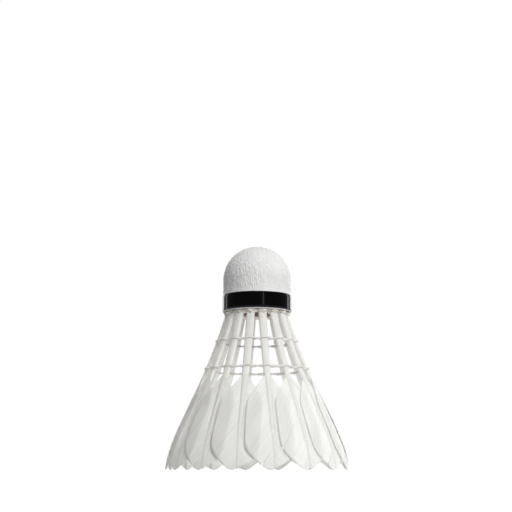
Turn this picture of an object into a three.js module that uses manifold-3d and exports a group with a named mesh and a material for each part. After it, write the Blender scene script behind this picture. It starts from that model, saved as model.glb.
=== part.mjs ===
// A feather badminton shuttlecock, standing on its feather tips with the cork nose up.
// Units are millimetres. The origin is on the axis in the plane of the feather tips,
// and +Z runs up the axis to the nose of the cork.
//
// The real one is glued up from natural parts:
// - a ball-nosed cork in two glued layers, under a thin leather cover with a glossy tape round its rim
// - sixteen trimmed wing feathers, each pushed into its own hole in the flat face of the cork
// - a bed of glue round the quills where they leave the cork
// - two rows of thread, each twined round every shaft
// Nothing in it turns or slides. The feathers only flex.

import * as THREE from "three";
import { LoftGeometry } from "three/addons/geometries/LoftGeometry.js";
import { mergeVertices } from "three/addons/utils/BufferGeometryUtils.js";
import Module from "manifold-3d";

const wasm = await Module();
wasm.setup();

// ---- Driving dimensions

const featherCount = 16;
const corkDiameter = 26;
const corkHeight = 25.2;
const skirtHeight = 58.2;
const tipDiameter = 66.5;
const exitShare = 0.823; // shafts' circle at the cork, as a share of the cork's diameter
const shaftBow = 2.9;
const tipCurl = 5.9;

const coverThickness = 0.4;
const tapeThickness = 0.15;
const tapeShare = 0.478; // tape height, as a share of the cork's straight side
const tapeRimMargin = 0.45;
const layerGap = 0.1;
const cutGap = 0.25;

const quillShare = 0.83; // quill depth, as a share of the cork's drilled layer
const quillEndShare = 0.72; // quill width at its buried end, as a share of its width at the exit
const shaftWidthShare = 0.73; // shaft width at the cork, as a share of the spacing there
const shaftDepthShare = 0.62; // shaft depth at the cork, as a share of its width
const shaftTipWidth = 0.8;
const shaftTaperPower = 1.4;
const shaftEndHeight = 1.2;

const vaneShare = 0.589; // vane height, as a share of the skirt's
const vaneThickness = 0.45;
const vaneLayerGap = 0.55;
const vaneSideGap = 0.4;
const vaneOuterWidth = 9.2;
const vaneOuterFlare = 0.3;
const vaneInnerWidth = 7.4;
const vaneShoulderShare = 0.4;
const tipFlatWidth = 3;
const outerTipSlope = 1.9;
const outerTipPower = 0.8;
const innerTipSlope = 1.7;

const upperThreadShare = 0.48; // how far up the open part of the shafts the upper row is
const threadClearance = 1.4;
const threadSlack = 0.6;
const strandDepth = 0.8;
const strandHeight = 1;
const strandOverlap = 0.2;

const glueHeight = 1.7;
const glueSpread = 1;

// ---- Derived sizes

const corkSegments = 2 * featherCount;
const domeSteps = 8;

const featherTurn = (2 * Math.PI) / featherCount;
const exitRadius = (corkDiameter / 2) * exitShare;
const tipRadius = tipDiameter / 2;
const coverRadius = corkDiameter / 2 - tapeThickness - layerGap;
const corkRadius = coverRadius - coverThickness - layerGap;
const totalHeight = skirtHeight + corkHeight;
const drilledLayerHeight = corkHeight - coverRadius;
const domeCentreHeight = skirtHeight + drilledLayerHeight;

const quillDepth = drilledLayerHeight * quillShare;
const shaftExitWidth = exitRadius * featherTurn * shaftWidthShare;
const shaftExitDepth = shaftExitWidth * shaftDepthShare;
const vaneHeight = skirtHeight * vaneShare;
const vaneStep = vaneThickness + vaneLayerGap;
const lowerThreadHeight = vaneHeight + strandHeight + threadClearance;
const upperThreadHeight = lowerThreadHeight + (skirtHeight - lowerThreadHeight) * upperThreadShare;

// ---- Solids and geometries

// A closed geometry as a solid that can be joined and cut.
function solidOf(geometry) {
  const bare = new THREE.BufferGeometry();
  bare.setAttribute("position", geometry.getAttribute("position"));
  bare.setIndex(geometry.getIndex());
  const merged = mergeVertices(bare, 1e-4);
  return new wasm.Manifold(
    new wasm.Mesh({
      numProp: 3,
      vertProperties: merged.getAttribute("position").array,
      triVerts: new Uint32Array(merged.getIndex().array),
    }),
  );
}

// A solid as a geometry that a mesh can use.
function geometryOf(solid) {
  const surface = solid.getMesh();
  const geometry = new THREE.BufferGeometry();
  geometry.setAttribute("position", new THREE.BufferAttribute(surface.vertProperties, 3));
  geometry.setIndex(new THREE.BufferAttribute(surface.triVerts, 1));
  geometry.computeVertexNormals();
  return geometry;
}

// A skin over sections of equal corner count, closed at each end by a fan round the section's middle.
function cappedLoft(sections) {
  const closing = [sections[0], sections[sections.length - 1]].map((section) => {
    const middle = new THREE.Vector3();
    section.forEach((corner) => middle.addScaledVector(corner, 1 / section.length));
    return section.map(() => middle.clone());
  });
  return new LoftGeometry([closing[0], ...sections, closing[1]], { closed: true });
}

// A shape turned about the upright axis, from [radius, height] corners listed with the outer wall going up.
function turned(corners) {
  const profile = corners.map(([radius, height]) => new THREE.Vector2(radius, height));
  return new THREE.LatheGeometry(profile, corkSegments).rotateX(Math.PI / 2);
}

// Corners of a quarter circle that rises from its widest point to the axis.
function domeCorners(radius, fromHeight) {
  const startAngle = Math.asin(Math.max(0, (fromHeight - domeCentreHeight) / radius));
  const corners = [];
  for (let step = 0; step <= domeSteps; step++) {
    const angle = startAngle + ((Math.PI / 2 - startAngle) * step) / domeSteps;
    const across = step === domeSteps ? 0 : radius * Math.cos(angle);
    corners.push([across, domeCentreHeight + radius * Math.sin(angle)]);
  }
  return corners;
}

// ---- The shafts' centre line: how far it is from the axis at a height, and how it leans.
// The shafts bow out as they leave the cork, and near the tips they curl back towards upright.

const exitSlope = (tipRadius - exitRadius + tipCurl - 4 * shaftBow) / skirtHeight;

function shaftRadiusAt(height) {
  if (height > skirtHeight) return exitRadius - exitSlope * (height - skirtHeight);
  const along = 1 - height / skirtHeight;
  const spread = exitSlope * skirtHeight * along + 4 * shaftBow * along ** 2;
  return exitRadius + spread - tipCurl * along ** 6;
}

function shaftLeanAt(height) {
  const step = 0.01;
  return Math.atan((shaftRadiusAt(height - step) - shaftRadiusAt(height + step)) / (2 * step));
}

// The shaft's width shrinks from the cork to the tip, quickest below the vane's shoulder.
function shaftWidthAt(height) {
  if (height > skirtHeight) {
    const deep = (height - skirtHeight) / quillDepth;
    return shaftExitWidth * (1 - (1 - quillEndShare) * deep);
  }
  const along = 1 - Math.max(height, 0) / skirtHeight;
  const taper = Math.cos((along * Math.PI) / 2) ** shaftTaperPower;
  return shaftTipWidth + (shaftExitWidth - shaftTipWidth) * taper;
}

function shaftDepthAt(height) {
  const share = (shaftWidthAt(height) - shaftTipWidth) / (shaftExitWidth - shaftTipWidth);
  return shaftTipWidth + (shaftExitDepth - shaftTipWidth) * share;
}

// Distance between neighbouring shafts, measured round the skirt.
function spacingAt(height) {
  return shaftRadiusAt(height) * featherTurn;
}

// ---- One feather, built on the +X side

// A shaft with a six-sided section at each listed height. Where it cuts its hole it is grown by a gap.
function shaftLoft(heights, growth) {
  const sections = heights.map((height) => {
    const lean = shaftLeanAt(height);
    const halfWidth = shaftWidthAt(height) / 2 + growth;
    const halfDepth = (shaftDepthAt(height) / 2 + growth) / Math.cos(lean);
    const section = [];
    for (let corner = 0; corner < 6; corner++) {
      const angle = ((corner + 0.5) * Math.PI) / 3;
      const outward = (halfDepth * Math.cos(angle)) / Math.cos(Math.PI / 6);
      const sideways = halfWidth * Math.sin(angle);
      section.push(new THREE.Vector3(shaftRadiusAt(height) + outward, sideways, height));
    }
    return section;
  });
  return cappedLoft(sections);
}

// How far the vane reaches to each side of its shaft. The outer side lies over the neighbouring feather and
// the inner side lies under the other neighbour, and both stop short of the neighbours' shafts.
function vaneReach(height, naturalWidth, tipWidth) {
  const down = (vaneHeight - height) / vaneHeight;
  const shoulder = Math.sin((Math.min(1, down / vaneShoulderShare) * Math.PI) / 2);
  const room = spacingAt(height) - shaftWidthAt(height) / 2 - vaneSideGap;
  const start = shaftWidthAt(vaneHeight) / 4;
  return Math.min(Math.max(naturalWidth * shoulder, start), room, tipWidth);
}

function outerReach(height) {
  const tipWidth = tipFlatWidth / 2 + outerTipSlope * height ** outerTipPower;
  const naturalWidth = vaneOuterWidth * (1 + vaneOuterFlare * (1 - height / vaneHeight));
  return vaneReach(height, naturalWidth, tipWidth);
}

function innerReach(height) {
  return vaneReach(height, vaneInnerWidth, tipFlatWidth / 2 + innerTipSlope * height);
}

const stationShares = [0, 1 / 16, 1 / 8, 3 / 16, 5 / 16, 1 / 2, 3 / 4, 7 / 8, 1];
const vaneStations = stationShares.map((share) => share * vaneHeight);

// The thin vane, bent round the skirt and tilted so that each feather overlaps the next like a roof tile.
function vaneLoft() {
  const halfSteps = 2;
  const sections = vaneStations.map((height) => {
    const radius = shaftRadiusAt(height);
    const reaches = [outerReach(height), innerReach(height)];
    const section = [];
    for (const side of [1, -1]) {
      for (let step = -halfSteps; step <= halfSteps; step++) {
        const place = side * step;
        const across = (place / halfSteps) * (place < 0 ? reaches[0] : reaches[1]);
        const tilt = (-vaneStep * across) / spacingAt(height);
        const reach = radius + tilt + (side * vaneThickness) / 2;
        const angle = across / radius;
        section.push(new THREE.Vector3(reach * Math.cos(angle), reach * Math.sin(angle), height));
      }
    }
    return section;
  });
  return cappedLoft(sections);
}

function featherSolid() {
  const shaftStations = vaneStations.filter((height, station) => station !== 1);
  shaftStations[0] = shaftEndHeight;
  shaftStations.push((vaneHeight + skirtHeight) / 2, skirtHeight);
  const shaft = solidOf(shaftLoft(shaftStations, 0));
  const quill = solidOf(shaftLoft([skirtHeight, skirtHeight + quillDepth], 0));
  return shaft.add(quill).add(solidOf(vaneLoft()));
}

// A copy of a solid for each feather place round the axis.
function roundTheAxis(solid) {
  const copies = [];
  for (let place = 0; place < featherCount; place++) {
    copies.push(solid.rotate([0, 0, (360 * place) / featherCount]));
  }
  return copies;
}

// ---- The cork and what is stuck to it

const holeBottom = skirtHeight - 2 * glueHeight;
const holeTop = skirtHeight + quillDepth + cutGap;
const quillHole = solidOf(shaftLoft([holeBottom, skirtHeight, holeTop], cutGap));
const quillHoles = wasm.Manifold.union(roundTheAxis(quillHole));

const corkBase = solidOf(
  turned([
    [0, skirtHeight],
    [corkRadius, skirtHeight],
    [corkRadius, domeCentreHeight],
    [0, domeCentreHeight],
  ]),
).subtract(quillHoles);

const corkDome = turned([
  [0, domeCentreHeight + layerGap],
  ...domeCorners(corkRadius, domeCentreHeight + layerGap),
]);

const coverInside = domeCorners(coverRadius - coverThickness, domeCentreHeight).reverse();
const cover = turned([
  ...coverInside,
  [coverRadius - coverThickness, skirtHeight],
  [coverRadius, skirtHeight],
  ...domeCorners(coverRadius, domeCentreHeight),
]);

const tapeBottom = skirtHeight + tapeRimMargin;
const tapeTop = tapeBottom + drilledLayerHeight * tapeShare;
const tape = turned([
  [coverRadius + layerGap, tapeBottom],
  [corkDiameter / 2, tapeBottom],
  [corkDiameter / 2, tapeTop],
  [coverRadius + layerGap, tapeTop],
  [coverRadius + layerGap, tapeBottom],
]);

// The glue has run inwards from the ring of quills, and fills the gaps between them.
const glueTop = skirtHeight - layerGap;
const glueOuterRadius = exitRadius + shaftExitDepth / 2;
const glueInnerRadius = exitRadius - shaftExitDepth / 2 - glueSpread;
const glueBed = solidOf(
  turned([
    [glueInnerRadius, glueTop - glueHeight / 2],
    [glueInnerRadius + glueSpread * 0.8, glueTop - glueHeight],
    [glueOuterRadius, glueTop - glueHeight],
    [glueOuterRadius, glueTop],
    [glueInnerRadius, glueTop],
    [glueInnerRadius, glueTop - glueHeight / 2],
  ]),
).subtract(quillHoles);

// ---- The thread rows

// One strand of a row. It weaves past the outside of one shaft and the inside of the next, and in each gap
// it crosses over its partner. Its section leans with the shafts.
function strandLoft(height, sense) {
  const stations = 4 * featherCount;
  const lean = shaftLeanAt(height);
  const swing = shaftDepthAt(height) / 2 + threadSlack + strandDepth / 2;
  const rise = (strandHeight - strandOverlap) / 2;
  const sections = [];
  for (let station = 0; station <= stations; station++) {
    const turn = (2 * Math.PI * (station % stations)) / stations;
    const phase = (turn * featherCount) / 2;
    const outward = sense * swing * Math.cos(phase);
    const upward = sense * rise * Math.sin(phase);
    const section = [];
    for (let corner = 0; corner < 6; corner++) {
      const angle = (-corner * Math.PI) / 3;
      const out = outward + (strandDepth / 2) * Math.cos(angle);
      const up = upward + (strandHeight / 2) * Math.sin(angle);
      const radius = shaftRadiusAt(height) + out * Math.cos(lean) - up * Math.sin(lean);
      const level = height + out * Math.sin(lean) + up * Math.cos(lean);
      section.push(new THREE.Vector3(radius * Math.cos(turn), radius * Math.sin(turn), level));
    }
    sections.push(section);
  }
  return new LoftGeometry(sections, { closed: true });
}

function threadRow(height) {
  return solidOf(strandLoft(height, 1)).add(solidOf(strandLoft(height, -1)));
}

// ---- The assembly

const finishes = {
  cork: { color: 0xc79a68, roughness: 0.85, metalness: 0 },
  leather: { color: 0xf1f0ec, roughness: 0.45, metalness: 0 },
  tape: { color: 0x0d0d0e, roughness: 0.25, metalness: 0 },
  glue: { color: 0xd9d2c2, roughness: 0.5, metalness: 0 },
  thread: { color: 0xeeeeea, roughness: 0.7, metalness: 0 },
  feather: { color: 0xf2f1ec, roughness: 0.65, metalness: 0 },
};

const shuttlecock = new THREE.Group();
shuttlecock.name = "shuttlecock";

function addPiece(name, geometry, finish) {
  const material = new THREE.MeshStandardMaterial(finishes[finish]);
  const mesh = new THREE.Mesh(geometry, material);
  mesh.name = name;
  shuttlecock.add(mesh);
}

addPiece("cork_dome", corkDome, "cork");
addPiece("cork_drilled_base", geometryOf(corkBase), "cork");
addPiece("leather_cover", cover, "leather");
addPiece("rim_tape", tape, "tape");
addPiece("glue_bed", geometryOf(glueBed), "glue");
addPiece("upper_thread", geometryOf(threadRow(upperThreadHeight)), "thread");
addPiece("lower_thread", geometryOf(threadRow(lowerThreadHeight)), "thread");

roundTheAxis(featherSolid()).forEach((feather, place) => {
  const number = String(place + 1).padStart(2, "0");
  addPiece("feather_" + number, geometryOf(feather), "feather");
});

export default shuttlecock;
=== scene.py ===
# %% [markdown]
# # A feather shuttlecock
# A shuttlecock is a ball-nosed cork in a thin leather cover, with a glossy tape round its rim. Sixteen
# trimmed feathers stand in a ring of holes in its flat face, held by glue and by two rows of thread.
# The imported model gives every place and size. This lesson swaps its plain solids for finely made
# pieces in the same frame: metres, the axis upright, the feather tips on the floor at zero height.

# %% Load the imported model
import math
import random

import bmesh
import bpy
from mathutils import Euler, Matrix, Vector
from mathutils import noise as fixed_noise


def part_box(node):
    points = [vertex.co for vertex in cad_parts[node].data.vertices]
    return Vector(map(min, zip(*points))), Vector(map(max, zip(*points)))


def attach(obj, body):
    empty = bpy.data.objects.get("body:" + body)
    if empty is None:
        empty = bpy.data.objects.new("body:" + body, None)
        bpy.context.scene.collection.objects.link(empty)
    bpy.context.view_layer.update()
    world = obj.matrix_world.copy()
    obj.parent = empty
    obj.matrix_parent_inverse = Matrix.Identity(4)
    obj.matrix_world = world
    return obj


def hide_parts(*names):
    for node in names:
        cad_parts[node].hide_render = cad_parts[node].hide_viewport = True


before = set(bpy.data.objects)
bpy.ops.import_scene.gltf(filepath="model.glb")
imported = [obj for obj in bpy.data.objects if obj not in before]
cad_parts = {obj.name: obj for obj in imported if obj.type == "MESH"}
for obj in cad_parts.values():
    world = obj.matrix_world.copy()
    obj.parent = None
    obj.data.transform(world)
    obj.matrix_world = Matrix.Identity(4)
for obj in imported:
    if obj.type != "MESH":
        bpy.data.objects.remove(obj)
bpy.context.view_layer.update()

# %% [markdown]
# ## Sizes
# The feathers follow one rule, so the rule is written once here, in millimetres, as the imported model
# has it. The places of the cork, tape, glue and threads are read from the boxes of their nodes.

# %% Sizes read from the frame
MM = 0.001


def span(node):
    """The lowest and highest corner of a node, in millimetres."""
    low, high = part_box(node)
    return [c / MM for c in low], [c / MM for c in high]


cover_low, cover_high = span("leather_cover")
tape_low, tape_high = span("rim_tape")
glue_high = span("glue_bed")[1]
SKIRT_HEIGHT = cover_low[2]
COVER_RADIUS = cover_high[0]
TAPE_RADIUS = tape_high[0]
DOME_CENTRE = cover_high[2] - COVER_RADIUS
print(f"skirt {SKIRT_HEIGHT:.1f} mm high, cover {2 * COVER_RADIUS:.1f} mm across")

# %% Sizes of a feather
FEATHERS = 16

# The middle line of a shaft, from its exit at the cork down to the tips.
EXIT_RADIUS = 10.70
SHAFT_SPREAD = 16.85
SHAFT_BOW = 11.6
TIP_CURL = 5.9
QUILL_DEPTH = 10.33

# The thickness of a shaft, and of the quill, which narrows inside the cork.
EXIT_WIDTH = 3.067
EXIT_DEPTH = 1.90
TIP_WIDTH = 0.8
LEAST_DEPTH = 0.1
SHAFT_TAPER = 1.4
QUILL_TAPER = 0.28

# The outline of the two half-vanes. The outer one lies over the next feather's inner one.
VANE_TOP = 34.28
OUTER_WIDTH = 9.2
OUTER_FLARE = 0.3
INNER_WIDTH = 7.4
SHOULDER_SHARE = 0.4
SIDE_GAP = 0.4
TIP_SHIFT = 1.4
TIP_RISE = 0.55
OUTER_CUT = 1.9
OUTER_CUT_POWER = 0.8
INNER_CUT = 1.8
TOP_REACH = 0.5
LEAST_REACH = 0.05
CORNER_SHARPNESS = 7
print(FEATHERS, "feathers, with the vane from the floor to", VANE_TOP, "mm")

# %% The rule of the shaft


def shaft_radius(height):
    """How far the middle of a shaft is from the axis."""
    if height > SKIRT_HEIGHT:
        return EXIT_RADIUS - SHAFT_SPREAD / SKIRT_HEIGHT * (height - SKIRT_HEIGHT)
    down = 1 - height / SKIRT_HEIGHT
    return EXIT_RADIUS + SHAFT_SPREAD * down + SHAFT_BOW * down**2 - TIP_CURL * down**6


def shaft_lean(height):
    """The angle between the shaft and the upright."""
    return math.atan(shaft_radius(height - 0.5) - shaft_radius(height + 0.5))


def shaft_share(height):
    """1 where the shaft leaves the cork, 0 at its fine end."""
    down = min(1.0, 1 - height / SKIRT_HEIGHT)
    return math.cos(down * math.pi / 2) ** SHAFT_TAPER if down > 0 else 1.0


def shaft_width(height):
    """The width of the shaft, round the skirt."""
    if height > SKIRT_HEIGHT:
        return EXIT_WIDTH * (1 - QUILL_TAPER * (height - SKIRT_HEIGHT) / QUILL_DEPTH)
    return TIP_WIDTH + (EXIT_WIDTH - TIP_WIDTH) * shaft_share(height)


def shaft_depth(height):
    """The depth of the shaft, from outside to inside."""
    return shaft_width(height) * (EXIT_DEPTH - LEAST_DEPTH) / EXIT_WIDTH + LEAST_DEPTH


print(f"shafts lean {math.degrees(shaft_lean(SKIRT_HEIGHT)):.0f} degrees at the cork")

# %% The rule of the vane


def spacing(height):
    """The distance between neighbouring shafts, round the skirt."""
    return shaft_radius(height) * 2 * math.pi / FEATHERS


def vane_reach(height, outer):
    """How far the vane reaches from its shaft at a height, on its outer or its inner half."""
    height = min(max(height, 0.0), VANE_TOP)
    down = 1 - height / VANE_TOP
    shoulder = math.sin(min(1.0, down / SHOULDER_SHARE) * math.pi / 2)
    if outer:
        natural = OUTER_WIDTH * (1 + OUTER_FLARE * down)
        cut = TIP_SHIFT + OUTER_CUT * height**OUTER_CUT_POWER
    else:
        natural = INNER_WIDTH
        cut = max(0.0, height - TIP_RISE) * INNER_CUT
    room = spacing(height) - shaft_width(height) / 2 - SIDE_GAP
    limits = (max(natural * shoulder, TOP_REACH), max(room, LEAST_REACH), max(cut, LEAST_REACH))
    return sum(limit**-CORNER_SHARPNESS for limit in limits) ** (-1 / CORNER_SHARPNESS)


reaches = [vane_reach(VANE_TOP / 2, outer) for outer in (True, False)]
print(f"half way up the vanes reach {reaches[0]:.1f} and {reaches[1]:.1f} mm from the shaft")

# %% [markdown]
# ## Small tools
# Every colour is written as it looks on a screen and turned to linear light by one function. One
# function adds a node to a tree with its settings and its links, for materials and shapes alike. The
# others stand for what most finishes here need: a random pattern with patches of a real size, and a
# colour that drifts between two tones over such patches.

# %% Colours, nodes and patterns


def linear(hex_colour):
    """A screen colour such as F2F1ED as linear red, green, blue and a solid alpha."""
    parts = [int(hex_colour[i : i + 2], 16) / 255 for i in (0, 2, 4)]
    light = [c / 12.92 if c <= 0.04045 else ((c + 0.055) / 1.055) ** 2.4 for c in parts]
    return (*light, 1.0)


def add_node(tree, kind, inputs=None, **settings):
    """A new node. A value of inputs is set on its socket, and an output socket is linked to it."""
    node = tree.nodes.new(kind)
    for name, value in settings.items():
        setattr(node, name, value)
    for socket, value in (inputs or {}).items():
        if isinstance(value, bpy.types.NodeSocket):
            tree.links.new(value, node.inputs[socket])
        else:
            node.inputs[socket].default_value = value
    return node


def new_material(name):
    """An empty material and its tree."""
    material = bpy.data.materials.new(name)
    material.use_nodes = True
    material.node_tree.nodes.clear()
    print("finish:", name)
    return material, material.node_tree


def object_point(tree, size_mm):
    """Object coordinates scaled so that one unit of a pattern is size_mm, along x, y and z."""
    place = add_node(tree, "ShaderNodeTexCoord").outputs["Object"]
    scale = tuple(1 / (s * MM) for s in size_mm)
    return add_node(tree, "ShaderNodeMapping", {"Vector": place, "Scale": scale}).outputs[0]


def pattern(tree, size_mm, detail=2.0, ends=None):
    """A soft random pattern in patches of about size_mm. Its middle may be stretched between two ends."""
    inputs = {"Vector": object_point(tree, size_mm), "Scale": 1.0, "Detail": detail}
    field = add_node(tree, "ShaderNodeTexNoise", inputs).outputs[0]
    if ends is None:
        return field
    inputs = {"Value": field, "From Min": 0.3, "From Max": 0.7, "To Min": ends[0], "To Max": ends[1]}
    return add_node(tree, "ShaderNodeMapRange", inputs).outputs[0]


def drifting_colour(tree, first, second, size_mm, detail=2.0, ends=None):
    """A colour that drifts between two hex colours over patches of about size_mm."""
    inputs = {0: pattern(tree, size_mm, detail, ends), 6: linear(first), 7: linear(second)}
    return add_node(tree, "ShaderNodeMix", inputs, data_type="RGBA").outputs[2]


# %% Meshes


def ring_mesh(name, rings, closed_ends=True):
    """A mesh over rings of equal corner count, with a fan at each end."""
    count = len(rings[0])
    corners = [tuple(c * MM for c in corner) for ring in rings for corner in ring]
    faces = []
    for row in range(len(rings) - 1):
        for i in range(count):
            j = (i + 1) % count
            low, high = row * count, (row + 1) * count
            faces.append((low + i, low + j, high + j, high + i))
    if closed_ends:
        for row in (0, len(rings) - 1):
            middle = [sum(c[k] for c in rings[row]) / count * MM for k in range(3)]
            corners.append(tuple(middle))
            start = row * count
            for i in range(count):
                faces.append((start + i, start + (i + 1) % count, len(corners) - 1))
    mesh = bpy.data.meshes.new(name)
    mesh.from_pydata(corners, [], faces)
    return mesh


def turned_mesh(name, profile, steps):
    """A mesh turned about the axis from (radius, height) corners. Corners on the axis merge to a pole."""
    rings = []
    for radius, height in profile:
        ring = []
        for i in range(steps):
            angle = 2 * math.pi * i / steps
            ring.append((radius * math.cos(angle), radius * math.sin(angle), height))
        rings.append(ring)
    return ring_mesh(name, rings, closed_ends=False)


def close_and_turn_out(mesh):
    """Merges doubles, then turns every face outwards and makes the shading smooth."""
    shape = bmesh.new()
    shape.from_mesh(mesh)
    bmesh.ops.remove_doubles(shape, verts=shape.verts, dist=0.001 * MM)
    bmesh.ops.recalc_face_normals(shape, faces=shape.faces)
    for face in shape.faces:
        face.smooth = True
    shape.to_mesh(mesh)
    shape.free()
    return mesh


# %% Pieces


def add_object(name, mesh):
    """An object at the origin that shows a mesh."""
    piece = bpy.data.objects.new(name, mesh)
    bpy.context.scene.collection.objects.link(piece)
    return piece


def place_piece(piece, slot, *nodes):
    """The piece stands for its CAD nodes, which it hides, and rides on the one body. The slot is not used.
    """
    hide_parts(*nodes)
    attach(piece, "root")
    print(piece.name, len(piece.data.polygons), "faces")


# %% Trees that make shapes


def shape_tree(name, sizes):
    """A Geometry Nodes tree with a geometry and named sizes going in, and its group input node."""
    tree = bpy.data.node_groups.new(name, "GeometryNodeTree")
    tree.interface.new_socket("Guide", in_out="INPUT", socket_type="NodeSocketGeometry")
    for size, kind in sizes.items():
        tree.interface.new_socket(size, in_out="INPUT", socket_type="NodeSocket" + kind)
    tree.interface.new_socket("Shape", in_out="OUTPUT", socket_type="NodeSocketGeometry")
    return tree, add_node(tree, "NodeGroupInput").outputs


def end_tree(tree, geometry, finish):
    """Ends a tree in Realize Instances and Set Material."""
    real = add_node(tree, "GeometryNodeRealizeInstances", {"Geometry": geometry}).outputs[0]
    done = add_node(tree, "GeometryNodeSetMaterial", {"Geometry": real, "Material": finish})
    add_node(tree, "NodeGroupOutput", {0: done.outputs[0]})
    print("tree:", tree.name, "with", len(tree.nodes), "nodes")


def grown(name, guide_mesh, tree, values):
    """The plain mesh that a tree makes from a guide."""
    guide = add_object(name + "_guide", guide_mesh)
    modifier = guide.modifiers.new(name, "NODES")
    modifier.node_group = tree
    for item in tree.interface.items_tree:
        if item.in_out == "INPUT" and item.name in values:
            modifier[item.identifier] = values[item.name]
    ready = guide.evaluated_get(bpy.context.evaluated_depsgraph_get())
    mesh = bpy.data.meshes.new_from_object(ready)
    mesh.name = name
    guide.modifiers.clear()
    bpy.data.objects.remove(guide)
    return mesh


def guide_lines(name, lines, numbers=(), vectors=()):
    """A mesh of loose edges. Each line is (points in mm, closed, {attribute: a value for each point})."""
    corners, edges = [], []
    kept = {key: [] for key in (*numbers, *vectors)}
    for points, closed, facts in lines:
        first = len(corners)
        corners.extend(tuple(c * MM for c in point) for point in points)
        edges.extend((first + i, first + i + 1) for i in range(len(points) - 1))
        if closed:
            edges.append((first + len(points) - 1, first))
        for key in kept:
            kept[key].extend(facts[key])
    mesh = bpy.data.meshes.new(name)
    mesh.from_pydata(corners, edges, [])
    for key in numbers:
        mesh.attributes.new(key, "FLOAT", "POINT").data.foreach_set("value", kept[key])
    for key in vectors:
        flat = [c for vector in kept[key] for c in vector]
        mesh.attributes.new(key, "FLOAT_VECTOR", "POINT").data.foreach_set("vector", flat)
    return mesh


# %% [markdown]
# ## The stage
# The shuttlecock stands cork up on a plain white table in a white room. A broad soft light comes from
# the right and above, so the left side lies in soft shade. A weaker one from behind and the glow of the
# far wall shine through the thin feathers. The camera sits almost at table height, with a long lens,
# and looks up a little.

# %% Camera
VIEW_ANGLE = math.radians(-78)
CAMERA_DISTANCE = 0.410
CAMERA_HEIGHT = 0.0005
CAMERA_TILT = math.radians(10.98)
CAMERA_TURN = 0.0009

scene = bpy.context.scene
camera_data = bpy.data.cameras.new("view_camera")
camera_data.lens = 77.3
camera_data.sensor_width = 36.0
camera_data.clip_start = 0.01
camera = bpy.data.objects.new("view_camera", camera_data)
camera.location = (
    CAMERA_DISTANCE * math.cos(VIEW_ANGLE),
    CAMERA_DISTANCE * math.sin(VIEW_ANGLE),
    CAMERA_HEIGHT,
)
heading = VIEW_ANGLE + math.pi / 2 + CAMERA_TURN
camera.rotation_euler = Euler((math.pi / 2 + CAMERA_TILT, 0, heading))
scene.collection.objects.link(camera)
scene.camera = camera
scene.view_settings.view_transform = "Standard"
print("camera at", tuple(round(c, 3) for c in camera.location))

# %% Room
# The room's dim fill lights the object, the far wall glows, and the camera sees plain white.
ROOM_FILL = 0.26
WALL_GLOW = 1.2

world = bpy.data.worlds.new("white_room")
world.use_nodes = True
scene.world = world
room = world.node_tree
room.nodes.clear()
direction = add_node(room, "ShaderNodeTexCoord").outputs["Generated"]
behind = (-math.cos(VIEW_ANGLE), -math.sin(VIEW_ANGLE), 0.1)
facing_wall = add_node(room, "ShaderNodeVectorMath", {0: direction, 1: behind}, operation="DOT_PRODUCT")
wall_glow = add_node(
    room,
    "ShaderNodeMapRange",
    {
        "Value": facing_wall.outputs["Value"],
        "From Min": 0.7,
        "From Max": 0.9,
        "To Min": ROOM_FILL,
        "To Max": WALL_GLOW,
    },
)
soft_fill = add_node(
    room, "ShaderNodeBackground", {"Color": linear("FFFFFF"), "Strength": wall_glow.outputs[0]}
)
backdrop = add_node(room, "ShaderNodeBackground", {"Color": linear("FFFFFF"), "Strength": 1.0})
seen = add_node(room, "ShaderNodeLightPath").outputs["Is Camera Ray"]
mixed = add_node(
    room, "ShaderNodeMixShader", {0: seen, 1: soft_fill.outputs[0], 2: backdrop.outputs[0]}
)
add_node(room, "ShaderNodeOutputWorld", {"Surface": mixed.outputs[0]})
print("white room with a glowing far wall")

# %% Lights


def add_sun(name, right_of_view, elevation, strength, softness):
    """A soft light from far off. Its angles in degrees are from the line of sight and the floor."""
    turn, rise = VIEW_ANGLE + math.radians(right_of_view), math.radians(elevation)
    towards = Vector((math.cos(turn) * math.cos(rise), math.sin(turn) * math.cos(rise), math.sin(rise)))
    data = bpy.data.lights.new(name, "SUN")
    data.energy = strength
    data.angle = math.radians(softness)
    light = bpy.data.objects.new(name, data)
    light.rotation_euler = towards.to_track_quat("Z", "Y").to_euler()
    light.location = towards
    light.visible_glossy = False
    scene.collection.objects.link(light)


add_sun("key_light", 32, 36, 2.6, 45)
add_sun("back_light", 128, 20, 0.7, 60)

STRIP_DISTANCE = 0.7
STRIP_RISE = 0.17
STRIP_HEIGHT = 0.5


def add_strip(right_of_view, power, width):
    """A tall narrow lamp that shows as an upright streak in the glossy tape."""
    turn = VIEW_ANGLE + math.radians(right_of_view)
    data = bpy.data.lights.new("strip_light", "AREA")
    data.shape = "RECTANGLE"
    data.size, data.size_y = width, STRIP_HEIGHT
    data.energy = power
    light = bpy.data.objects.new("strip_light", data)
    away = Vector((math.cos(turn), math.sin(turn), 0))
    light.location = away * STRIP_DISTANCE + Vector((0, 0, STRIP_RISE))
    light.rotation_euler = away.to_track_quat("Z", "Y").to_euler()
    scene.collection.objects.link(light)


add_strip(-150, 0.5, 0.08)
add_strip(-122, 0.4, 0.06)
add_strip(20, 0.45, 0.04)
add_strip(126, 0.55, 0.06)
add_strip(152, 0.5, 0.07)
print("two soft lights and five streak lamps")

# %% The glow of the table under the skirt
# Light that the white table throws up inside the skirt. It is a lamp, so that the table itself can be
# kept from lighting the outside.
BOUNCE_POWER = 0.0105

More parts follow.
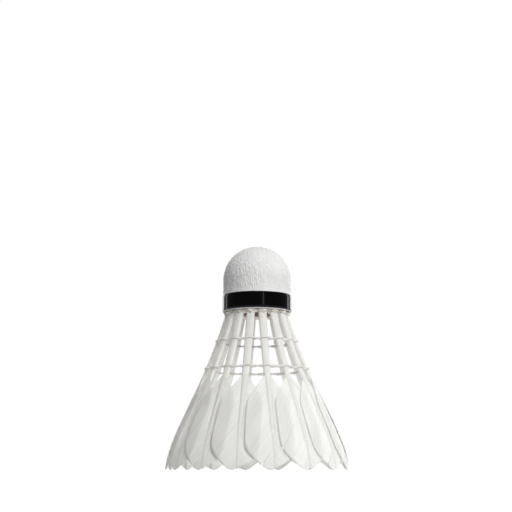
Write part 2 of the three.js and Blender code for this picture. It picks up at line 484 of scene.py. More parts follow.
bounce_data = bpy.data.lights.new("table_bounce", "AREA")
bounce_data.shape = "DISK"
bounce_data.size = 0.05
bounce_data.energy = BOUNCE_POWER
bounce = bpy.data.objects.new("table_bounce", bounce_data)
bounce.location = (0, 0, 0.0004)
bounce.rotation_euler = (math.pi, 0, 0)
bounce.visible_camera = False
bounce.visible_glossy = False
scene.collection.objects.link(bounce)
print("a lamp of", BOUNCE_POWER, "W inside the skirt")

# %% Table
HALF_TABLE = 0.9

table_mesh = bpy.data.meshes.new("table_top")
corners = [(x * HALF_TABLE, y * HALF_TABLE, 0) for x, y in ((-1, -1), (1, -1), (1, 1), (-1, 1))]
table_mesh.from_pydata(corners, [], [(0, 1, 2, 3)])
table_white, tree = new_material("matt_white_table")
shade = add_node(
    tree,
    "ShaderNodeBsdfPrincipled",
    {
        "Base Color": drifting_colour(tree, "F6F6F5", "FAFAFA", (90, 90, 90)),
        "Roughness": 0.9,
        "Emission Color": linear("FFFFFF"),
        "Emission Strength": 0.5,
    },
)
add_node(tree, "ShaderNodeOutputMaterial", {"Surface": shade.outputs[0]})
table_mesh.materials.append(table_white)
table = add_object("table_top", table_mesh)
table.visible_diffuse = False
print("table", 2 * HALF_TABLE, "m across")

# %% [markdown]
# ## Cork
# The nose is natural cork in two glued layers. The cover hides all of it but the flat face round the
# quills. Cork is a light brown, dull wood bark with dark pores one or two millimetres long, so cells of
# about that size darken the mottle, and the pores are a little sunk. Here the mottle drifts at random
# between two dark grey-browns, far darker than light brown cork. That darkness is painted shade, for the
# face seen in shadow between the shafts.

# %% Cork material
cork_with_painted_shade, tree = new_material("cork_with_painted_shade")
# Painted shade: both mottle colours are darkened from light brown cork to the shade between the shafts.
mottle_with_painted_shade = drifting_colour(tree, "54473A", "6E5F4D", (3, 3, 3), 4.0)
pores = add_node(
    tree, "ShaderNodeTexVoronoi", {"Vector": object_point(tree, (1.6, 1.6, 2.4)), "Scale": 1.0}
).outputs["Distance"]
pore = add_node(
    tree,
    "ShaderNodeMapRange",
    {"Value": pores, "From Min": 0.12, "From Max": 0.3, "To Min": 1.0, "To Max": 0.0},
).outputs[0]
hollow = add_node(
    tree, "ShaderNodeBump", {"Strength": 0.5, "Distance": 0.2 * MM, "Height": pore}, invert=True
)
bark = add_node(
    tree, "ShaderNodeMix", {0: pore, 6: mottle_with_painted_shade, 7: linear("3C2A1A")}, data_type="RGBA"
).outputs[2]
shade = add_node(
    tree,
    "ShaderNodeBsdfPrincipled",
    {
        "Base Color": bark,
        "Roughness": 0.85,
        "Normal": hollow.outputs[0],
    },
)
add_node(tree, "ShaderNodeOutputMaterial", {"Surface": shade.outputs[0]})
for node in ("cork_dome", "cork_drilled_base"):
    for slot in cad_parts[node].material_slots:
        slot.material = cork_with_painted_shade
print("cork finish on the dome and the drilled base")

# %% [markdown]
# ## Leather cover
# The cover is thin white synthetic leather, stretched over the nose and trimmed flush with the cork's
# flat face. Stretching leaves fine wrinkles, half a millimetre to a millimetre apart, that run up the
# sides. They could be bump only, but then the outline would stay smooth. So they are real relief: a
# finely turned skin is sunk by a stretched, creased noise. Rolled leather is satin, with tiny pits.

# %% Leather material
white_leather, tree = new_material("stretched_white_leather")
tint = drifting_colour(tree, "DDDDDD", "E4E4E3", (4, 4, 6), 3.0, (0, 1))
pits = pattern(tree, (0.35, 0.35, 0.5), 3.0)
relief = add_node(tree, "ShaderNodeBump", {"Strength": 0.5, "Distance": 0.08 * MM, "Height": pits})
shade = add_node(
    tree,
    "ShaderNodeBsdfPrincipled",
    {
        "Base Color": tint,
        "Roughness": pattern(tree, (1, 1, 2), ends=(0.48, 0.62)),
        "IOR": 1.5,
        "Normal": relief.outputs[0],
    },
)
add_node(tree, "ShaderNodeOutputMaterial", {"Surface": shade.outputs[0]})

# %% The wrinkle tree
CREASE_SLOPE = 4.5

wrinkle_tree, given = shape_tree(
    "stretch_wrinkles",
    {"Wrinkle width": "Float", "Wrinkle length": "Float", "Wrinkle depth": "Float", "Finish": "Material"},
)
position = add_node(wrinkle_tree, "GeometryNodeInputPosition").outputs[0]
grid = add_node(
    wrinkle_tree,
    "ShaderNodeCombineXYZ",
    {0: given["Wrinkle width"], 1: given["Wrinkle width"], 2: given["Wrinkle length"]},
)
scaled = add_node(
    wrinkle_tree, "ShaderNodeVectorMath", {0: position, 1: grid.outputs[0]}, operation="DIVIDE"
)
lift = add_node(
    wrinkle_tree,
    "ShaderNodeTexNoise",
    {"Vector": scaled.outputs[0], "Scale": 1.0, "Detail": 0.5, "Distortion": 0.7},
).outputs[0]
share = add_node(wrinkle_tree, "GeometryNodeInputNamedAttribute", {"Name": "grain"}).outputs[0]

# The noise becomes creases: 0 on the flat between them, and minus the wrinkle depth at their bottom.
for operation, other in (
    ("SUBTRACT", 0.5),
    ("ABSOLUTE", 0.0),
    ("MULTIPLY", CREASE_SLOPE),
    ("MINIMUM", 1.0),
    ("SUBTRACT", 1.0),
    ("MULTIPLY", share),
    ("MULTIPLY", given["Wrinkle depth"]),
):
    lift = add_node(wrinkle_tree, "ShaderNodeMath", {0: lift, 1: other}, operation=operation).outputs[0]

outward = add_node(
    wrinkle_tree,
    "ShaderNodeVectorMath",
    {0: add_node(wrinkle_tree, "GeometryNodeInputNormal").outputs[0], "Scale": lift},
    operation="SCALE",
)
moved = add_node(
    wrinkle_tree, "GeometryNodeSetPosition", {"Geometry": given["Guide"], "Offset": outward.outputs[0]}
)
end_tree(wrinkle_tree, moved.outputs[0], given["Finish"])

# %% The blank of the cover
COVER_WALL = 0.4
COVER_STEPS = 480
INNER_ARC_STEPS = 12
ARC_STEPS = 96
WALL_STEPS = 44
EDGE_ROUND = 0.15
GRAIN_FADE = 1.5


def dome_corner(radius, angle):
    """A corner of the cover's section on the dome, at an angle from the equator."""
    return radius * math.cos(angle), DOME_CENTRE + radius * math.sin(angle)


def cover_profile():
    """The section from the inside of the pole, down, round the trimmed edge and up to the outside pole."""
    inner = COVER_RADIUS - COVER_WALL
    corners = [(0.0, DOME_CENTRE + inner)]
    for i in range(1, INNER_ARC_STEPS + 1):
        corners.append(dome_corner(inner, math.pi / 2 * (1 - i / INNER_ARC_STEPS)))
    corners.append((inner, SKIRT_HEIGHT + EDGE_ROUND))
    corners.append((inner + 0.1, SKIRT_HEIGHT + 0.03))
    corners.append((COVER_RADIUS - COVER_WALL / 2, SKIRT_HEIGHT))
    corners.append((COVER_RADIUS - 0.08, SKIRT_HEIGHT + 0.04))
    straight = DOME_CENTRE - SKIRT_HEIGHT - EDGE_ROUND
    for i in range(WALL_STEPS + 1):
        corners.append((COVER_RADIUS, SKIRT_HEIGHT + EDGE_ROUND + straight * i / WALL_STEPS))
    for i in range(1, ARC_STEPS + 1):
        corners.append(dome_corner(COVER_RADIUS, math.pi / 2 * i / ARC_STEPS))
    return corners


def grain_share(corner):
    """1 where the outside of the cover wrinkles, 0 inside and under the tape."""
    from_axis = math.hypot(corner.x, corner.y) / MM
    height = corner.z / MM
    from_centre = math.hypot(from_axis, max(0.0, height - DOME_CENTRE))
    if from_centre < COVER_RADIUS - 0.1:
        return 0.0
    return min(1.0, max(0.0, (height - tape_high[2] - 0.1) / GRAIN_FADE))


cover_blank = close_and_turn_out(turned_mesh("cover_blank", cover_profile(), COVER_STEPS))
grain = [grain_share(vertex.co) for vertex in cover_blank.vertices]
cover_blank.attributes.new("grain", "FLOAT", "POINT").data.foreach_set("value", grain)
print("cover blank", len(cover_blank.polygons), "faces")

# %% The wrinkled cover
WRINKLE_SIZES = {
    "Wrinkle width": 0.46 * MM,
    "Wrinkle length": 2.2 * MM,
    "Wrinkle depth": 0.27 * MM,
    "Finish": white_leather,
}
cover_mesh = grown("cork_leather", cover_blank, wrinkle_tree, WRINKLE_SIZES)
place_piece(add_object("cork_leather", cover_mesh), "leather", "leather_cover")

# %% [markdown]
# ## Rim tape
# A strip of black vinyl tape is wound once round the rim and overlaps itself by a few millimetres, so
# its cut end shows as a fine upright step. Vinyl is smooth and glossy, with faint stretch lines along
# its length. A plain turned ring would have no such step, so the strip is built section by section,
# with rounded edges, and it climbs at the overlap.

# %% Tape material
black_vinyl, tree = new_material("glossy_black_vinyl")
streaks = pattern(tree, (9, 9, 0.35), 3.0)
waves = add_node(tree, "ShaderNodeBump", {"Strength": 0.12, "Distance": 0.05 * MM, "Height": streaks})
shade = add_node(
    tree,
    "ShaderNodeBsdfPrincipled",
    {
        "Base Color": drifting_colour(tree, "010101", "040404", (3, 3, 1.5)),
        "Roughness": pattern(tree, (5, 5, 1), 3.0, (0.08, 0.16)),
        "IOR": 1.5,
        "Specular IOR Level": 0.11,
        "Normal": waves.outputs[0],
    },
)
add_node(tree, "ShaderNodeOutputMaterial", {"Surface": shade.outputs[0]})

# %% The tape
TAPE_END = VIEW_ANGLE + math.radians(9)
TAPE_OVERLAP = 0.03
TAPE_STEPS = 480
TAPE_ROWS = 6
TAPE_ROUND = 0.05
TAPE_GAP = 0.02

# How the tape climbs, in radians past its cut end.
CLIMB_TURN = 0.5
RISE_START = 5.9
RISE_TURN = 0.3
RISE_SHARE = 0.2


def tape_climb(angle):
    """1 at the cut end, where the strip lies on itself, and 0 where it lies on the cover."""
    past = (angle - TAPE_END) % (2 * math.pi)
    if past < math.pi:
        return 1 - min(1.0, past / CLIMB_TURN)
    return min(1.0, max(0.0, (past - RISE_START) / RISE_TURN)) * RISE_SHARE


def tape_section(angle):
    """Corners of the tape's section at an angle round the cork, in order round the section."""
    outer = TAPE_RADIUS - TAPE_OVERLAP * (1 - tape_climb(angle))
    inner = COVER_RADIUS + TAPE_GAP
    low, high = tape_low[2], tape_high[2]
    corners = [(inner, low), (outer - TAPE_ROUND, low), (outer, low + TAPE_ROUND)]
    for i in range(1, TAPE_ROWS):
        corners.append((outer, low + (high - low) * i / TAPE_ROWS))
    corners += [(outer, high - TAPE_ROUND), (outer - TAPE_ROUND, high), (inner, high)]
    return [(r * math.cos(angle), r * math.sin(angle), z) for r, z in corners]


sections = [tape_section(TAPE_END + 1e-4 + 2 * math.pi * i / TAPE_STEPS) for i in range(TAPE_STEPS)]
sections.append(sections[0])
tape_mesh = close_and_turn_out(ring_mesh("rim_tape_strip", sections, closed_ends=False))
tape_mesh.materials.append(black_vinyl)
place_piece(add_object("rim_tape_strip", tape_mesh), "tape", "rim_tape")

# %% [markdown]
# ## Glue bed
# Each quill is set in a bead of glue that has run together with its neighbours. The dried glue is
# lumpy, part clear and part chalky, and has picked up brown cork dust. Sixteen loose beads would leave
# seams, so the bed is one ring that hangs lower round every shaft and is roughened by a fixed noise.

# %% Glue material
dried_glue, tree = new_material("dried_quill_glue")
chalk = drifting_colour(tree, "CFCBC1", "F3F1EB", (1.4, 1.4, 1.0), 4.0, (0, 1))
dust = pattern(tree, (0.7, 0.7, 0.5), 5.0, (-1.2, 1.0))
dusty = add_node(
    tree, "ShaderNodeMix", {0: dust, 6: chalk, 7: linear("75624C")}, data_type="RGBA"
).outputs[2]
grit = pattern(tree, (0.5, 0.5, 0.5), 3.0)
lumps = add_node(tree, "ShaderNodeBump", {"Strength": 0.6, "Distance": 0.15 * MM, "Height": grit})
shade = add_node(
    tree,
    "ShaderNodeBsdfPrincipled",
    {
        "Base Color": dusty,
        "Roughness": 0.4,
        "IOR": 1.5,
        "Normal": lumps.outputs[0],
    },
)
add_node(tree, "ShaderNodeOutputMaterial", {"Surface": shade.outputs[0]})

# %% The glue bed
GLUE_STEPS = 640
INNER_SPILL = 3.2
OUTER_SPILL = 1.0
BEAD_BULGES = (0.5, 0.6)
HANG = 1.0
BEAD_HANG = 1.1
BEAD_SHARPNESS = 1.5

# The section of the bed: the share of the way outwards, and the share of the way down.
GLUE_SECTION = (
    *((0, 0), (0, 0.3), (0.15, 0.5), (0.3, 0.7), (0.45, 0.9), (0.58, 1)),
    *((0.72, 0.96), (0.86, 0.84), (0.95, 0.6), (1, 0.3), (1, 0.1), (0.97, 0)),
)


def glue_section(angle):
    """Corners of the bed's section: lower and wider beside a shaft, hollowed between two."""
    turn = (angle * FEATHERS / (2 * math.pi)) % 1.0
    beside = 0.5 + 0.5 * math.cos(2 * math.pi * turn)
    inner = EXIT_RADIUS - INNER_SPILL + BEAD_BULGES[0] * (1 - beside)
    outer = glue_high[0] + OUTER_SPILL - BEAD_BULGES[1] * (1 - beside)
    top = SKIRT_HEIGHT - 0.02
    bottom = glue_high[2] - HANG - BEAD_HANG * beside**BEAD_SHARPNESS
    corners = []
    for share, drop in GLUE_SECTION:
        radius = inner + (outer - inner) * share
        height = top + (bottom - top) * drop
        if drop:
            spot = Vector((radius * math.cos(angle), radius * math.sin(angle), height))
            rough = fixed_noise.noise(spot * 1.3) * 0.30 + fixed_noise.noise(spot * 3.1) * 0.14
            radius += rough * (0.5 if share > 0.5 else -0.5)
            height += rough * 0.8
        corners.append((radius * math.cos(angle), radius * math.sin(angle), min(height, top)))
    return corners


sections = [glue_section(2 * math.pi * i / GLUE_STEPS) for i in range(GLUE_STEPS)]
sections.append(sections[0])
glue_mesh = close_and_turn_out(ring_mesh("quill_glue", sections, closed_ends=False))
glue_mesh.materials.append(dried_glue)
place_piece(add_object("quill_glue", glue_mesh), "glue", "glue_bed")

# %% [markdown]
# ## Thread rows
# Two rows of white cotton thread hold the shafts apart. In each row two strands are twined: where one
# passes outside a shaft, the other passes inside it, and they change places in every gap. A hitch of
# the same thread goes round each shaft, and thinned glue stiffens it all. A tree sweeps three twisted
# plies along every guide line, because a plain tube would show no thread at all.

# %% Thread material
glued_cotton, tree = new_material("glued_cotton_thread")
fibres = pattern(tree, (0.25, 0.25, 0.25))
fuzz = add_node(tree, "ShaderNodeBump", {"Strength": 0.3, "Distance": 0.03 * MM, "Height": fibres})
shade = add_node(
    tree,
    "ShaderNodeBsdfPrincipled",
    {
        "Base Color": drifting_colour(tree, "F4F4F1", "FDFDFC", (2, 2, 2), 3.0, (0, 1)),
        "Roughness": 0.55,
        "Coat Weight": 0.15,
        "Coat Roughness": 0.3,
        "Normal": fuzz.outputs[0],
    },
)
glow = add_node(tree, "ShaderNodeBsdfTranslucent", {"Color": linear("FBFAF7")})
cloth = add_node(tree, "ShaderNodeMixShader", {0: 0.5, 1: shade.outputs[0], 2: glow.outputs[0]})
add_node(tree, "ShaderNodeOutputMaterial", {"Surface": cloth.outputs[0]})

# %% The plied thread tree
thread_tree, given = shape_tree(
    "plied_thread",
    {"Ply radius": "Float", "Twist radius": "Float", "Plies": "Int", "Finish": "Material"},
)
curve = add_node(thread_tree, "GeometryNodeMeshToCurve", {"Mesh": given["Guide"]}).outputs[0]
level = add_node(thread_tree, "GeometryNodeSetCurveNormal", {"Curve": curve}, mode="Z_UP").outputs[0]
copies = add_node(
    thread_tree,
    "GeometryNodeDuplicateElements",
    {"Geometry": level, "Amount": given["Plies"]},
    domain="SPLINE",
)
turns = add_node(thread_tree, "GeometryNodeInputNamedAttribute", {"Name": "turns"}).outputs[0]
ply_share = add_node(
    thread_tree,
    "ShaderNodeMath",
    {0: copies.outputs["Duplicate Index"], 1: given["Plies"]},
    operation="DIVIDE",
).outputs[0]

# The angle of a ply round the thread, from its share of the way along the line.
twist = add_node(thread_tree, "GeometryNodeSplineParameter").outputs["Factor"]
for operation, other in (("MULTIPLY", turns), ("ADD", ply_share), ("MULTIPLY", 2 * math.pi)):
    twist = add_node(thread_tree, "ShaderNodeMath", {0: twist, 1: other}, operation=operation).outputs[0]

normal = add_node(thread_tree, "GeometryNodeInputNormal").outputs[0]
tangent = add_node(thread_tree, "GeometryNodeInputTangent").outputs[0]
across = add_node(thread_tree, "ShaderNodeVectorMath", {0: tangent, 1: normal}, operation="CROSS_PRODUCT")
steps = []
for direction, operation in ((normal, "COSINE"), (across.outputs[0], "SINE")):
    wave = add_node(thread_tree, "ShaderNodeMath", {0: twist}, operation=operation).outputs[0]
    size = add_node(
        thread_tree, "ShaderNodeMath", {0: wave, 1: given["Twist radius"]}, operation="MULTIPLY"
    ).outputs[0]
    step = add_node(thread_tree, "ShaderNodeVectorMath", {0: direction, "Scale": size}, operation="SCALE")
    steps.append(step.outputs[0])
offset = add_node(thread_tree, "ShaderNodeVectorMath", {0: steps[0], 1: steps[1]}, operation="ADD")
plies = add_node(
    thread_tree, "GeometryNodeSetPosition", {"Geometry": copies.outputs[0], "Offset": offset.outputs[0]}
)
ring = add_node(
    thread_tree, "GeometryNodeCurvePrimitiveCircle", {"Resolution": 6, "Radius": given["Ply radius"]}
)
swept = add_node(
    thread_tree, "GeometryNodeCurveToMesh", {"Curve": plies.outputs[0], "Profile Curve": ring.outputs[0]}
)
end_tree(thread_tree, swept.outputs[0], given["Finish"])

# %% Guide lines of the threads
THREAD_PITCH = 1.7
POINTS_PER_TURN = 8
STRAND_SLACK = 0.1
STRAND_RISE = 0.12
HITCH_POINTS = 48
HITCH_SLACK = (0.08, 0.12)
HITCH_RISE = 0.05
MOST_ASKEW = 0.3


def squared_off(wave, power):
    """A wave with flatter tops: the lower the power, the squarer it is."""
    return math.copysign(abs(wave) ** power, wave)


def on_skirt(angle, height, outward, upward, sideways=0.0):
    """A point given by its steps away from the shafts' circle, leaning with the shafts."""
    lean = shaft_lean(height)
    radius = shaft_radius(height) + outward * math.cos(lean) - upward * math.sin(lean)
    level = height + outward * math.sin(lean) + upward * math.cos(lean)
    place = Vector((radius * math.cos(angle), radius * math.sin(angle), level))
    return place + sideways * Vector((-math.sin(angle), math.cos(angle), 0))


def loop_of(points):
    """A closed guide line with a whole number of thread twists along it."""
    length = sum((points[i] - points[i - 1]).length for i in range(len(points)))
    turns = max(2, round(length / THREAD_PITCH))
    return points, True, {"turns": [float(turns)] * len(points)}, length


def strand_loop(height, sense, count):
    """One strand of a row, outside one shaft and inside the next."""
    swing = shaft_depth(height) / 2 + STRAND_SLACK
    points = []
    for i in range(count):
        angle = 2 * math.pi * i / count
        phase = angle * FEATHERS / 2
        outward = sense * swing * squared_off(math.cos(phase), 0.7)
        points.append(on_skirt(angle, height, outward, sense * STRAND_RISE * math.sin(phase)))
    return loop_of(points)


def hitch_loop(height, place, chance):
    """A hitch round one shaft, a little askew."""
    angle = 2 * math.pi * place / FEATHERS
    half_width = shaft_width(height) / 2 + HITCH_SLACK[0]
    half_depth = shaft_depth(height) / 2 + HITCH_SLACK[1]
    askew = chance.uniform(0.0, MOST_ASKEW)
    points = []
    for i in range(HITCH_POINTS):
        turn = 2 * math.pi * i / HITCH_POINTS
        side = squared_off(math.sin(turn), 0.8) * half_width
        out = squared_off(math.cos(turn), 0.8) * half_depth
        points.append(on_skirt(angle, height, out, askew * math.sin(turn) + HITCH_RISE, side))
    return loop_of(points)


# %% The two rows
PLY_RADIUS = 0.19
TWIST_RADIUS = 0.17


def thread_row(name, node, seed):
    """A row of thread at the height of its node: two strands, and a hitch on every shaft."""
    low, high = span(node)
    height = (low[2] + high[2]) / 2
    chance = random.Random(seed)
    around = 2 * math.pi * shaft_radius(height)
    count = FEATHERS * round(around / THREAD_PITCH * POINTS_PER_TURN / FEATHERS)
    loops = [strand_loop(height, sense, count) for sense in (1, -1)]
    print(f"{name}: strands of {loops[0][3]:.0f} mm at {height:.1f} mm")
    loops += [hitch_loop(height, place, chance) for place in range(FEATHERS)]
    guide = guide_lines(name, [loop[:3] for loop in loops], numbers=("turns",))
    sizes = {
        "Ply radius": PLY_RADIUS * MM,
        "Twist radius": TWIST_RADIUS * MM,
        "Plies": 3,
        "Finish": glued_cotton,
    }
    mesh = grown(name, guide, thread_tree, sizes)
    place_piece(add_object(name, close_and_turn_out(mesh)), "thread", node)


thread_row("thread_row_upper", "upper_thread", 11)
thread_row("thread_row_lower", "lower_thread", 12)

# %% [markdown]
# ## Feathers
# Each feather is a goose wing feather, cut to shape. Its shaft is smooth pale horn, broad at the cork
# and fine at the tip, with a shallow groove on its inner face. From each side of the shaft spring some
# sixty barbs, which slant down and outwards and hook together into one thin vane. The vanes overlap
# like roof tiles. Barbs alone would leave slits, and a skin alone would be bare, so both are made: a
# thin skin over the rows of barbs, and a raised rib along each barb, swept by a tree. The rows are half
# a millimetre apart, as on the real feather, and here and there the skin parts in a natural split.

# %% Feather materials
goose_vane, tree = new_material("white_goose_vane")
tone = add_node(tree, "ShaderNodeAttribute", attribute_name="tone").outputs["Fac"]
pale = drifting_colour(tree, "FAFAF8", "FFFFFE", (7, 7, 9), 3.0, (0, 1))
barb_colour = add_node(
    tree, "ShaderNodeMix", {0: tone, 6: pale, 7: linear("F3F3F1")}, data_type="RGBA"
).outputs[2]
shade = add_node(
    tree,
    "ShaderNodeBsdfPrincipled",
    {
        "Base Color": barb_colour,
        "Roughness": 0.65,
        "IOR": 1.45,
        "Sheen Weight": 0.15,
        "Sheen Roughness": 0.4,
    },
)
glow = add_node(tree, "ShaderNodeBsdfTranslucent", {"Color": barb_colour})
vane_shade = add_node(tree, "ShaderNodeMixShader", {0: 0.43, 1: shade.outputs[0], 2: glow.outputs[0]})
add_node(tree, "ShaderNodeOutputMaterial", {"Surface": vane_shade.outputs[0]})

feather_horn, tree = new_material("pale_feather_horn")
streaks = pattern(tree, (0.45, 0.45, 9))
grooves = add_node(tree, "ShaderNodeBump", {"Strength": 0.3, "Distance": 0.06 * MM, "Height": streaks})
shade = add_node(
    tree,
    "ShaderNodeBsdfPrincipled",
    {
        "Base Color": drifting_colour(tree, "E6E6E3", "F1F1EE", (0.45, 0.45, 9), ends=(0, 1)),
        "Roughness": pattern(tree, (2, 2, 6), ends=(0.3, 0.45)),
        "IOR": 1.54,
        "Normal": grooves.outputs[0],
    },
)
glow = add_node(tree, "ShaderNodeBsdfTranslucent", {"Color": linear("F4F3EF")})
horn_shade = add_node(tree, "ShaderNodeMixShader", {0: 0.3, 1: shade.outputs[0], 2: glow.outputs[0]})
add_node(tree, "ShaderNodeOutputMaterial", {"Surface": horn_shade.outputs[0]})

# %% The barb tree
barb_tree, given = shape_tree("feather_barbs", {"Barb flatness": "Float", "Finish": "Material"})
curve = add_node(barb_tree, "GeometryNodeMeshToCurve", {"Mesh": given["Guide"]}).outputs[0]
facing = add_node(
    barb_tree, "GeometryNodeInputNamedAttribute", {"Name": "facing"}, data_type="FLOAT_VECTOR"
).outputs[0]
laid = add_node(barb_tree, "GeometryNodeSetCurveNormal", {"Curve": curve, "Normal": facing}, mode="FREE")
six_sided = add_node(barb_tree, "GeometryNodeCurvePrimitiveCircle", {"Resolution": 6, "Radius": 0.5})
flattening = add_node(barb_tree, "ShaderNodeCombineXYZ", {0: given["Barb flatness"], 1: 1.0, 2: 1.0})
flat = add_node(
    barb_tree, "GeometryNodeTransform", {"Geometry": six_sided.outputs[0], "Scale": flattening.outputs[0]}
)
width = add_node(barb_tree, "GeometryNodeInputNamedAttribute", {"Name": "width"}).outputs[0]
swept = add_node(
    barb_tree,
    "GeometryNodeCurveToMesh",
    {"Curve": laid.outputs[0], "Profile Curve": flat.outputs[0], "Scale": width, "Fill Caps": True},
)
smooth = add_node(barb_tree, "GeometryNodeSetShadeSmooth", {"Geometry": swept.outputs[0]})
end_tree(barb_tree, smooth.outputs[0], given["Finish"])

# %% The surface of a vane
CUP_REACH = 9.0
RIPPLE = 0.04
LAP = 0.35
VANE_ON_SHAFT = 0.36


class Vane:
    """One feather's own small differences, and the surface its barbs lie on."""

    def __init__(self, place):
        self.angle = 2 * math.pi * place / FEATHERS
        self.chance = random.Random(400 + place)
        self.cup = [self.chance.uniform(0.15, 0.35), self.chance.uniform(-0.05, 0.0)]
        self.splits = [
            sorted(self.chance.uniform(3, 26) for _ in range(self.chance.choice((0, 1, 1))))
            for _ in range(2)
        ]
        self.wave = self.chance.uniform(0, 6)

    def point(self, height, across):
        """A point of the vane. Across is positive towards the next feather round the axis."""
        radius = shaft_radius(height)
        share = across / CUP_REACH
        belly = 0.2 + 0.5 * math.sin(math.pi * min(1.0, max(0.0, height / VANE_TOP)))
        cup = self.cup[0 if across < 0 else 1] * share * share * belly
        ripple = RIPPLE * math.sin(height * 0.45 + self.wave + across * 0.3) * abs(share)
        reach = radius - LAP * across / spacing(height) + cup + ripple
        reach += VANE_ON_SHAFT * shaft_depth(height)
        angle = self.angle + across / radius
        return Vector((reach * math.cos(angle), reach * math.sin(angle), height))

    def facing(self, height, across):
        """The outward direction of the vane's surface at a point."""
        up = self.point(height + 0.1, across) - self.point(height - 0.1, across)
        side = self.point(height, across + 0.1) - self.point(height, across - 0.1)
        return side.cross(up).normalized()


# %% Where the barbs run
BARB_STEP = 0.55
BARB_POINTS = 10
OUTER_FALL = (1.15, 0.02)
INNER_FALL = (1.25, 0.03)
SPLIT_HALF = 4.0
SPLIT_PUSH = 0.2
LOWEST = 0.06
WALK_STEP = 0.02


def barb_line(vane, side, start):
    """One barb from the shaft outwards and down to the cut edge. Side is -1 outer or 1 inner."""
    slope, curve = OUTER_FALL if side < 0 else INNER_FALL
    part = 0.0
    for split in vane.splits[0 if side < 0 else 1]:
        gap = start - split
        if abs(gap) < SPLIT_HALF:
            part += math.copysign(SPLIT_PUSH * (1 - abs(gap) / SPLIT_HALF) ** 1.5, gap)

    def level(across):
        """The height of the barb at a distance from the shaft."""
        return start - slope * across - curve * across * across + part * (across / 7.0) ** 2

    def lowest(across):
        """The height of the cut edge, which rises a little beside the tip of the shaft."""
        return LOWEST + TIP_RISE * max(0.0, 1 - across / TIP_SHIFT) if side < 0 else LOWEST

    begin = shaft_width(start) * 0.3
    across = begin
    while across < vane_reach(level(across), side < 0) and level(across) > lowest(across):
        across += WALK_STEP
    if across < begin + 0.1:
        return None
    end = across + vane.chance.uniform(-0.05, 0.03)
    points, facings = [], []
    for i in range(BARB_POINTS):
        step = begin + (end - begin) * i / (BARB_POINTS - 1)
        height = max(LOWEST, level(step))
        points.append(vane.point(height, side * step))
        facings.append(vane.facing(height, side * step))
    return start, points, facings


def barb_rows(vane, side):
    """The barbs of one half of the vane, from the top down."""
    rows = []
    start = VANE_TOP - 0.1
    while start > 0.3:
        row = barb_line(vane, side, start)
        if row:
            rows.append(row)
        start -= BARB_STEP * vane.chance.uniform(0.92, 1.08)
    return rows


# %% The ribs and the skin
BARB_WIDTH = 0.30
BARB_FLATNESS = 0.32
RIB_LIFT = 0.02
SHEET_THICKNESS = 0.07
UNTORN_CELLS = 3


def barb_lines(vane, rows):
    """Guide lines for the raised ribs of the barbs, a little short of the cut edge."""
    last = BARB_POINTS - 1
    widths = [BARB_WIDTH * (1 - 0.5 * (i / last) ** 4) * MM for i in range(BARB_POINTS)]
    lines = []
    for _, points, facings in rows:
        tones = [vane.chance.random() ** 2] * BARB_POINTS
        line = [p + f * RIB_LIFT for p, f in zip(points, facings)]
        line[last] = line[last].lerp(line[last - 1], 0.3)
        lines.append((line, False, {"width": widths, "facing": facings, "tone": tones}))
    return lines


def vane_sheet(vane, halves):
    """The thin skin that the locked barbs make, open along each split."""
    corners, faces, tones = [], [], []
    for side, rows in enumerate(halves):
        first = len(corners)
        tone = vane.chance.random() * 0.3
        for _, points, _ in rows:
            corners.extend(tuple(c * MM for c in point) for point in points)
            tone = min(1.0, max(0.0, tone + vane.chance.uniform(-0.12, 0.12)))
            tones.extend([tone] * BARB_POINTS)
        for row in range(len(rows) - 1):
            above, below = rows[row][0], rows[row + 1][0]
            torn = any(below < split < above for split in vane.splits[side])
            for i in range(UNTORN_CELLS if torn else BARB_POINTS - 1):
                a = first + row * BARB_POINTS + i
                faces.append((a, a + 1, a + 1 + BARB_POINTS, a + BARB_POINTS))
    mesh = bpy.data.meshes.new("vane_sheet")
    mesh.from_pydata(corners, [], faces)
    mesh.attributes.new("tone", "FLOAT", "POINT").data.foreach_set("value", tones)
    mesh.materials.append(goose_vane)
    sheet = add_object("vane_sheet", mesh)
    wall = sheet.modifiers.new("wall", "SOLIDIFY")
    wall.thickness = SHEET_THICKNESS * MM
    wall.offset = 0
    ready = sheet.evaluated_get(bpy.context.evaluated_depsgraph_get())
    thick = bpy.data.meshes.new_from_object(ready)
    bpy.data.objects.remove(sheet)
    return close_and_turn_out(thick)


# %% The shaft
SHAFT_CORNERS = 16
SHAFT_STEPS = 44
QUILL_STEPS = 4
SHAFT_END = 1.2
GROOVE_DEPTH = 0.3
GROOVE_WIDTH = 0.45


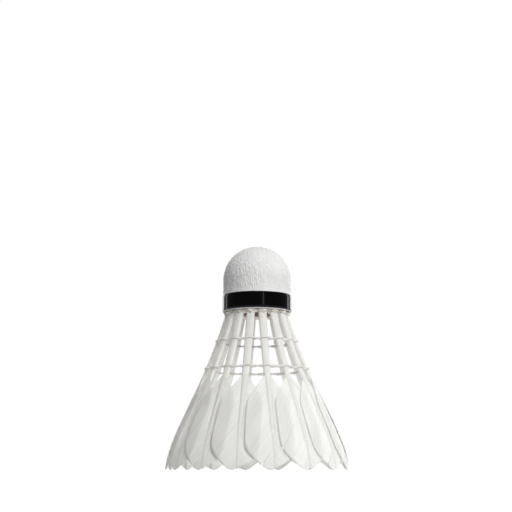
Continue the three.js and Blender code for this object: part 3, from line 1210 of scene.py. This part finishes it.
def shaft_section(vane, height, thin=1.0):
    """One section of the shaft: rounded, with a shallow groove on its inner face."""
    half_width = shaft_width(height) / 2 * thin
    half_depth = shaft_depth(height) / 2 / math.cos(shaft_lean(height)) * thin
    radius = shaft_radius(height)
    corners = []
    for i in range(SHAFT_CORNERS):
        turn = 2 * math.pi * i / SHAFT_CORNERS
        side = squared_off(math.sin(turn), 0.75) * half_width
        out = squared_off(math.cos(turn), 0.75) * half_depth
        if math.cos(turn) < 0:
            out *= 1 - GROOVE_DEPTH * math.exp(-((side / (GROOVE_WIDTH * half_width)) ** 2))
        x = (radius + out) * math.cos(vane.angle) - side * math.sin(vane.angle)
        y = (radius + out) * math.sin(vane.angle) + side * math.cos(vane.angle)
        corners.append((x, y, height))
    return corners


def shaft_mesh(vane):
    """A shaft from its rounded end near the floor, through the glue and into the cork."""
    sections = [shaft_section(vane, SHAFT_END - 0.5, 0.35), shaft_section(vane, SHAFT_END - 0.2, 0.8)]
    for i in range(SHAFT_STEPS + 1):
        sections.append(shaft_section(vane, SHAFT_END + (SKIRT_HEIGHT - SHAFT_END) * i / SHAFT_STEPS))
    for i in range(1, QUILL_STEPS + 1):
        sections.append(shaft_section(vane, SKIRT_HEIGHT + QUILL_DEPTH * i / QUILL_STEPS))
    mesh = close_and_turn_out(ring_mesh("shaft", sections))
    mesh.materials.append(feather_horn)
    return mesh


# %% Sixteen feathers


def joined(name, meshes):
    """One mesh from several, each with its own finish."""
    shape = bmesh.new()
    finishes = []
    for mesh in meshes:
        for face in mesh.polygons:
            face.material_index += len(finishes)
        shape.from_mesh(mesh)
        finishes.extend(mesh.materials)
    whole = bpy.data.meshes.new(name)
    shape.to_mesh(whole)
    shape.free()
    for finish in finishes:
        whole.materials.append(finish)
    return whole


for place in range(FEATHERS):
    vane = Vane(place)
    number = f"{place + 1:02d}"
    halves = [barb_rows(vane, side) for side in (-1, 1)]
    lines = barb_lines(vane, halves[0] + halves[1])
    guide = guide_lines("barbs", lines, numbers=("width", "tone"), vectors=("facing",))
    rib_sizes = {"Barb flatness": BARB_FLATNESS, "Finish": goose_vane}
    barbs = grown("barbs", guide, barb_tree, rib_sizes)
    parts = [barbs, vane_sheet(vane, halves), shaft_mesh(vane)]
    feather = add_object("trimmed_feather_" + number, joined("feather", parts))
    place_piece(feather, "feather", "feather_" + number)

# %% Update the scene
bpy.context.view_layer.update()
